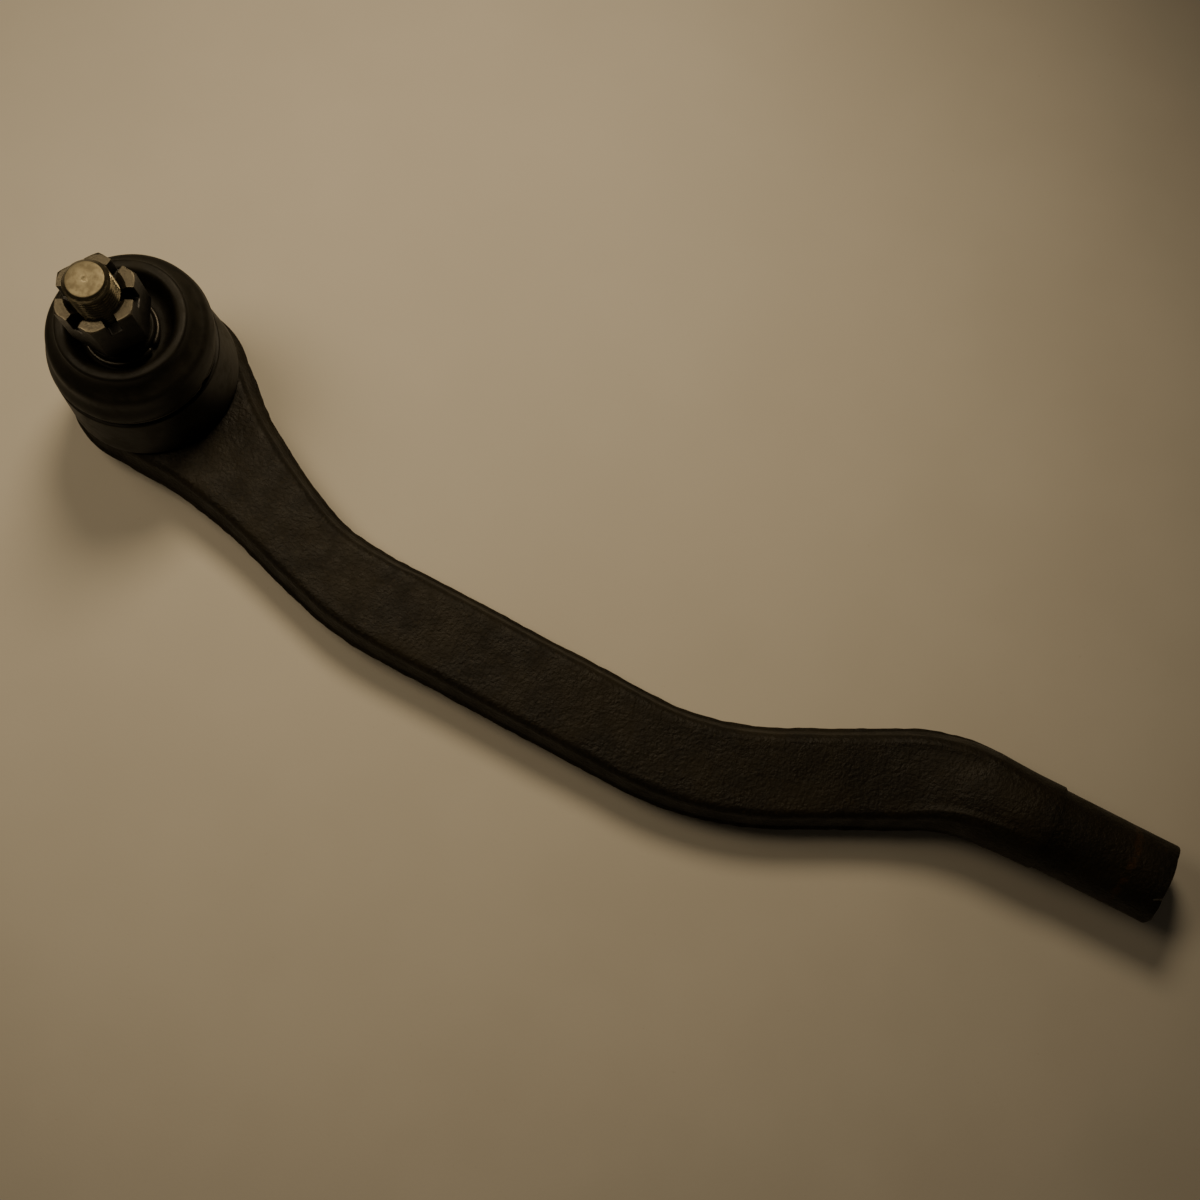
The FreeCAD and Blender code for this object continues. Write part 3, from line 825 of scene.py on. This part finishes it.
def mark_edges(obj, rounds=2):
    """Stores how convex the mesh is at each vertex, from 0 to 1, as the attribute that wear follows."""
    mesh = obj.data
    count = len(mesh.vertices)
    co = np.empty(count * 3)
    mesh.vertices.foreach_get("co", co)
    co = co.reshape(-1, 3)
    normals = np.empty(count * 3)
    mesh.vertices.foreach_get("normal", normals)
    normals = normals.reshape(-1, 3)
    pairs = np.empty(len(mesh.edges) * 2, dtype=np.int64)
    mesh.edges.foreach_get("vertices", pairs)
    a, b = pairs.reshape(-1, 2).T
    gap = co[a] - co[b]
    length = np.maximum(np.linalg.norm(gap, axis=1), 1e-9)
    total = np.zeros(count)
    used = np.zeros(count)
    np.add.at(total, a, (gap * normals[a]).sum(1) / length)
    np.add.at(total, b, -(gap * normals[b]).sum(1) / length)
    np.add.at(used, a, 1)
    np.add.at(used, b, 1)
    used = np.maximum(used, 1)
    value = np.clip(total / used, 0, 1)
    for _ in range(rounds):
        spread = np.zeros(count)
        np.add.at(spread, a, value[b])
        np.add.at(spread, b, value[a])
        value = np.maximum(value * 0.9, spread / used)
    attribute = mesh.attributes.new("edge", "FLOAT", "POINT")
    attribute.data.foreach_set("value", value.astype(np.float32))


def forging_finish():
    """Brown-black phosphate over a shot-blasted forging, rubbed on its edges, with a paler orange-brown,
    half-metallic patchy band round the boss.
    """
    f = Finish("forging_phosphate")
    cloud = f.span(f.noise(16.0, 4.0), 0.38, 0.66)
    grain = f.noise(0.9, 4.0, 0.65)
    colour = f.mix(cloud, (0.0042, 0.0031, 0.0012), (0.0100, 0.0074, 0.0026))
    colour = f.mix(f.span(grain, 0.52, 0.75), colour, (0.018, 0.0135, 0.0055))
    colour = f.mix(f.worn(0.10, 0.42), colour, (0.024, 0.018, 0.008))
    # A paler orange-brown, half-metallic band round the boss, 11.4 to 14.6 mm from the mouth, broken up by
    # noise.
    from_mouth = f.math("SUBTRACT", MOUTH_X / MM, f.axis("X"))
    band = f.math("MULTIPLY", f.span(from_mouth, 11.4, 12.6), f.span(from_mouth, 13.2, 14.6, 1.0, 0.0))
    pale_patch = f.math("MULTIPLY", band, f.span(f.noise(2.4, 3.0, 0.6), 0.40, 0.60))
    colour = f.mix(f.math("MULTIPLY", pale_patch, 0.75), colour, (0.050, 0.028, 0.013))
    pits = f.noise(1.05, 2.5, 0.55, distortion=0.3)
    normal = f.bump(pits, 0.32, 1.0)
    normal = f.bump(grain, 0.05, 1.0, normal)
    rough = f.span(f.noise(5.0, 3.0), 0.3, 0.7, 0.52, 0.66)
    metal = f.math("MULTIPLY", pale_patch, 0.5)
    return f.set(Base_Color=colour, Roughness=rough, Normal=normal, Metallic=metal, Specular_IOR_Level=0.24)


def stud_finish():
    """Bright turned steel with lathe marks, a little dulled and warm."""
    f = Finish("stud_turned_steel")
    marks = f.noise(0.16, 2.0, 0.6, f.turned())
    blotch = f.span(f.noise(2.2, 4.0, 0.6), 0.35, 0.70)
    colour = f.mix(blotch, (0.25, 0.225, 0.155), (0.195, 0.17, 0.115))
    colour = f.mix(f.span(f.noise(0.5, 5.0, 0.7), 0.60, 0.74), colour, (0.16, 0.13, 0.09))
    face = f.span(f.axis("Z"), STUD_TOP / MM - 0.16, STUD_TOP / MM - 0.06)
    rough = f.math("ADD", f.span(blotch, 0.0, 1.0, 0.27, 0.38), f.math("MULTIPLY", face, 0.27))
    normal = f.bump(marks, 0.012, 0.7)
    normal = f.bump(f.noise(0.35, 3.0), 0.012, 0.6, normal)
    return f.set(Base_Color=colour, Roughness=rough, Metallic=1.0, Normal=normal)


def nut_finish():
    """Black oxide, rubbed to grey steel on the edges; the crown's top is lighter grey too, partly rubbed
    steel and partly a painted highlight on the faces turned up to the lamp.
    """
    f = Finish("nut_black_oxide")
    # Painted highlight: the top 0.75 mm of the crown is lightened towards grey steel, partly as rubbed
    # metal and partly standing in for light on the upward faces.
    crown = f.span(f.axis("Z"), NUT_HIGH[2] / MM - 0.75, NUT_HIGH[2] / MM - 0.15)
    pale_patch = f.math("MULTIPLY", crown, f.span(f.noise(1.1, 4.0, 0.6), 0.25, 0.50, 0.55, 1.0))
    worn = f.math("MAXIMUM", pale_patch, f.worn(0.05, 0.30))
    base = f.mix(f.span(f.noise(1.8, 3.0), 0.35, 0.65), (0.014, 0.014, 0.014), (0.026, 0.025, 0.023))
    # The grey here is edge wear plus the crown's partly painted highlight.
    colour = f.mix(worn, base, (0.105, 0.095, 0.072))
    rough = f.span(f.noise(0.8, 4.0), 0.3, 0.7, 0.30, 0.48)
    normal = f.bump(f.noise(0.55, 4.0, 0.6), 0.045, 0.8)
    metal = f.span(worn, 0.0, 1.0, 0.45, 0.85)
    return f.set(Base_Color=colour, Roughness=rough, Metallic=metal, Normal=normal)


def rubber_finish():
    """Moulded black rubber with a faint bloom and fine rings from its tool."""
    f = Finish("boot_rubber")
    rings = f.noise(0.55, 2.0, 0.5, f.turned())
    bloom = f.span(f.noise(7.0, 5.0, 0.6), 0.42, 0.70)
    dust = f.span(f.noise(0.7, 6.0, 0.7), 0.58, 0.78)
    colour = f.mix(bloom, (0.0062, 0.0055, 0.0036), (0.0125, 0.0112, 0.0070))
    colour = f.mix(f.math("MULTIPLY", dust, 0.55), colour, (0.034, 0.030, 0.023))
    rough = f.span(bloom, 0.0, 1.0, 0.50, 0.64)
    normal = f.bump(rings, 0.030, 0.7)
    normal = f.bump(f.noise(0.45, 4.0, 0.6), 0.030, 0.7, normal)
    normal = f.bump(f.noise(4.0, 2.0), 0.16, 0.8, normal)
    return f.set(Base_Color=colour, Roughness=rough, Normal=normal, Specular_IOR_Level=0.22)


def plate_finish():
    """Pressed steel, zinc plated and dulled, with fine ring marks."""
    f = Finish("cover_pressed_steel")
    spots = f.span(f.noise(2.6, 5.0, 0.65), 0.48, 0.72)
    colour = f.mix(spots, (0.30, 0.29, 0.265), (0.145, 0.125, 0.10))
    colour = f.mix(f.worn(0.05, 0.35), colour, (0.46, 0.44, 0.40))
    normal = f.bump(f.noise(0.3, 2.0, 0.6, f.turned()), 0.02, 0.7)
    normal = f.bump(f.noise(1.2, 4.0), 0.05, 0.7, normal)
    rough = f.span(spots, 0.0, 1.0, 0.36, 0.58)
    return f.set(Base_Color=colour, Roughness=rough, Metallic=0.9, Normal=normal)


def spring_finish():
    """Tempered spring steel, blue-grey and oily."""
    f = Finish("spring_tempered_steel")
    tint = f.span(f.noise(5.0, 3.0), 0.35, 0.65)
    colour = f.mix(tint, (0.085, 0.09, 0.11), (0.14, 0.115, 0.085))
    normal = f.bump(f.noise(0.25, 2.0, 0.6, f.turned()), 0.02, 0.7)
    rough = f.span(f.noise(1.5), 0.3, 0.7, 0.26, 0.42)
    return f.set(Base_Color=colour, Roughness=rough, Metallic=1.0, Normal=normal)


def seat_finish():
    """Ivory moulded bearing plastic with a smear of grease."""
    f = Finish("seat_acetal")
    smear = f.span(f.noise(3.0, 4.0, 0.6, distortion=0.6), 0.45, 0.68)
    colour = f.mix(smear, (0.62, 0.58, 0.47), (0.42, 0.35, 0.20))
    normal = f.bump(f.noise(0.5, 3.0), 0.03, 0.6)
    rough = f.span(smear, 0.0, 1.0, 0.42, 0.2)
    return f.set(Base_Color=colour, Roughness=rough, Normal=normal, Subsurface_Weight=0.12,
                 Subsurface_Radius=(0.0012, 0.0010, 0.0006), Subsurface_Scale=1.0)


def wire_finish():
    """Drawn spring wire with a dark phosphate coat."""
    f = Finish("ring_wire_phosphate")
    drawn = f.noise(0.25, 4.0, 0.6)
    colour = f.mix(f.span(drawn, 0.4, 0.7), (0.022, 0.021, 0.019), (0.060, 0.055, 0.047))
    rough = f.span(f.noise(0.9), 0.3, 0.7, 0.32, 0.46)
    return f.set(Base_Color=colour, Roughness=rough, Metallic=0.7, Normal=f.bump(drawn, 0.02, 0.7))


def floor_finish():
    """Pale warm board with a faint mottle and tooth."""
    f = Finish("floor_board")
    mottle = f.span(f.noise(55.0, 3.0), 0.3, 0.7)
    colour = f.mix(mottle, (0.54, 0.52, 0.47), (0.57, 0.55, 0.50))
    colour = f.mix(f.span(f.noise(1.1, 6.0, 0.7), 0.62, 0.80), colour, (0.48, 0.455, 0.40))
    rough = f.span(mottle, 0.0, 1.0, 0.72, 0.82)
    return f.set(Base_Color=colour, Roughness=rough, Normal=f.bump(f.noise(0.8, 5.0), 0.05, 0.4))


# ---------------------------------------------------------------------------------------------------
# Assembly
# ---------------------------------------------------------------------------------------------------
PIECES = (
    # builder, body, CAD node, slot, finish
    (build_arm, "housing", "forged_arm", "forging", forging_finish),
    (build_stud, "stud", "ball_stud", "stud_steel", stud_finish),
    (build_nut, "nut", "castle_nut", "nut_oxide", nut_finish),
    (build_cover, "housing", "cover_plate", "plate_steel", plate_finish),
    (build_spring, "swivel", "preload_spring", "spring_steel", spring_finish),
    (build_lower_seat, "swivel", "lower_seat", "seat_polymer", seat_finish),
    (build_upper_seat, "swivel", "upper_seat", "seat_polymer", seat_finish),
    (lambda: wire_ring("ring_base", BASE_RING_MIDDLE_R, BASE_WIRE_R, GROOVE_Z, 3.0),
     "housing", "boot_base_ring", "ring_wire", wire_finish),
    (lambda: wire_ring("ring_neck", NECK_RING_MIDDLE_R, NECK_WIRE_R, NECK_RING_Z, 6.0),
     "lean", "boot_neck_ring", "ring_wire", wire_finish),
)


def dress(obj, finish):
    """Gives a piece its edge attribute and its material."""
    mark_edges(obj)
    obj.data.materials.clear()
    obj.data.materials.append(finish())


def assemble():
    """Builds every piece in place and ties each, all but the boot, to the body that carries it."""
    for build, body, node, slot, finish in PIECES:
        piece = build()
        dress(piece, finish)
        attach(piece, body)
        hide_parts(node)
    boot = build_boot()
    dress(boot, rubber_finish)
    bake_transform(boot)
    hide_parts("dust_boot")


# ---------------------------------------------------------------------------------------------------
# Floor, light and camera
# ---------------------------------------------------------------------------------------------------
FLOOR_HALF = 6.0
FLOOR_Z = -0.0004
LIGHT_AIM = Vector((0.05, 0.01, 0.0))
LIGHT_COLOUR = (1.0, 0.78, 0.49)
# Name, place, power in watts, cone in degrees, radius that softens the shadow.
LAMPS = (("key", (-0.01, 0.27, 0.43), 5.6, 86.0, 0.08),
         ("over", (-0.15, -0.04, 0.42), 2.6, 82.0, 0.12))
ROOM_COLOUR = (1.0, 0.83, 0.60, 1.0)
ROOM_STRENGTH = 0.028
CAMERA_PLACE = (0.16973, -0.08225, 0.38639)
CAMERA_DEGREES = (13.109, -1.706, 27.01)
CAMERA_LENS_MM = 42.0
CAMERA_SENSOR_MM = 36.0


def build_floor():
    """Plain board just under the part."""
    half = FLOOR_HALF / MM
    corners = [(x * half, y * half, FLOOR_Z / MM) for x, y in ((-1, -1), (1, -1), (1, 1), (-1, 1))]
    floor = new_object("floor_board", corners, [(0, 1, 2, 3)])
    floor.data.materials.append(floor_finish())


def spot_lamp(name, place, power, cone, radius):
    """Warm spot lamp at a place, turned to face the part."""
    data = bpy.data.lights.new(name, "SPOT")
    data.energy = power
    data.color = LIGHT_COLOUR
    data.spot_size = math.radians(cone)
    data.spot_blend = 1.0
    data.shadow_soft_size = radius
    lamp = bpy.data.objects.new(name, data)
    lamp.location = place
    lamp.rotation_euler = (lamp.location - LIGHT_AIM).to_track_quat("Z", "Y").to_euler()
    bpy.context.scene.collection.objects.link(lamp)


def build_light():
    """One lamp beyond the stud end, a weaker one over that end, and a dim room."""
    for settings in LAMPS:
        spot_lamp(*settings)
    world = bpy.data.worlds.new("room")
    world.use_nodes = True
    backdrop = world.node_tree.nodes["Background"]
    backdrop.inputs["Color"].default_value = ROOM_COLOUR
    backdrop.inputs["Strength"].default_value = ROOM_STRENGTH
    bpy.context.scene.world = world


def build_camera():
    """Camera above the part's middle, tipped and rolled as a hand held it."""
    data = bpy.data.cameras.new("camera")
    data.lens = CAMERA_LENS_MM
    data.sensor_width = CAMERA_SENSOR_MM
    camera = bpy.data.objects.new("camera", data)
    camera.location = CAMERA_PLACE
    camera.rotation_euler = [math.radians(a) for a in CAMERA_DEGREES]
    bpy.context.scene.collection.objects.link(camera)
    bpy.context.scene.camera = camera


assemble()
build_floor()
build_light()
build_camera()
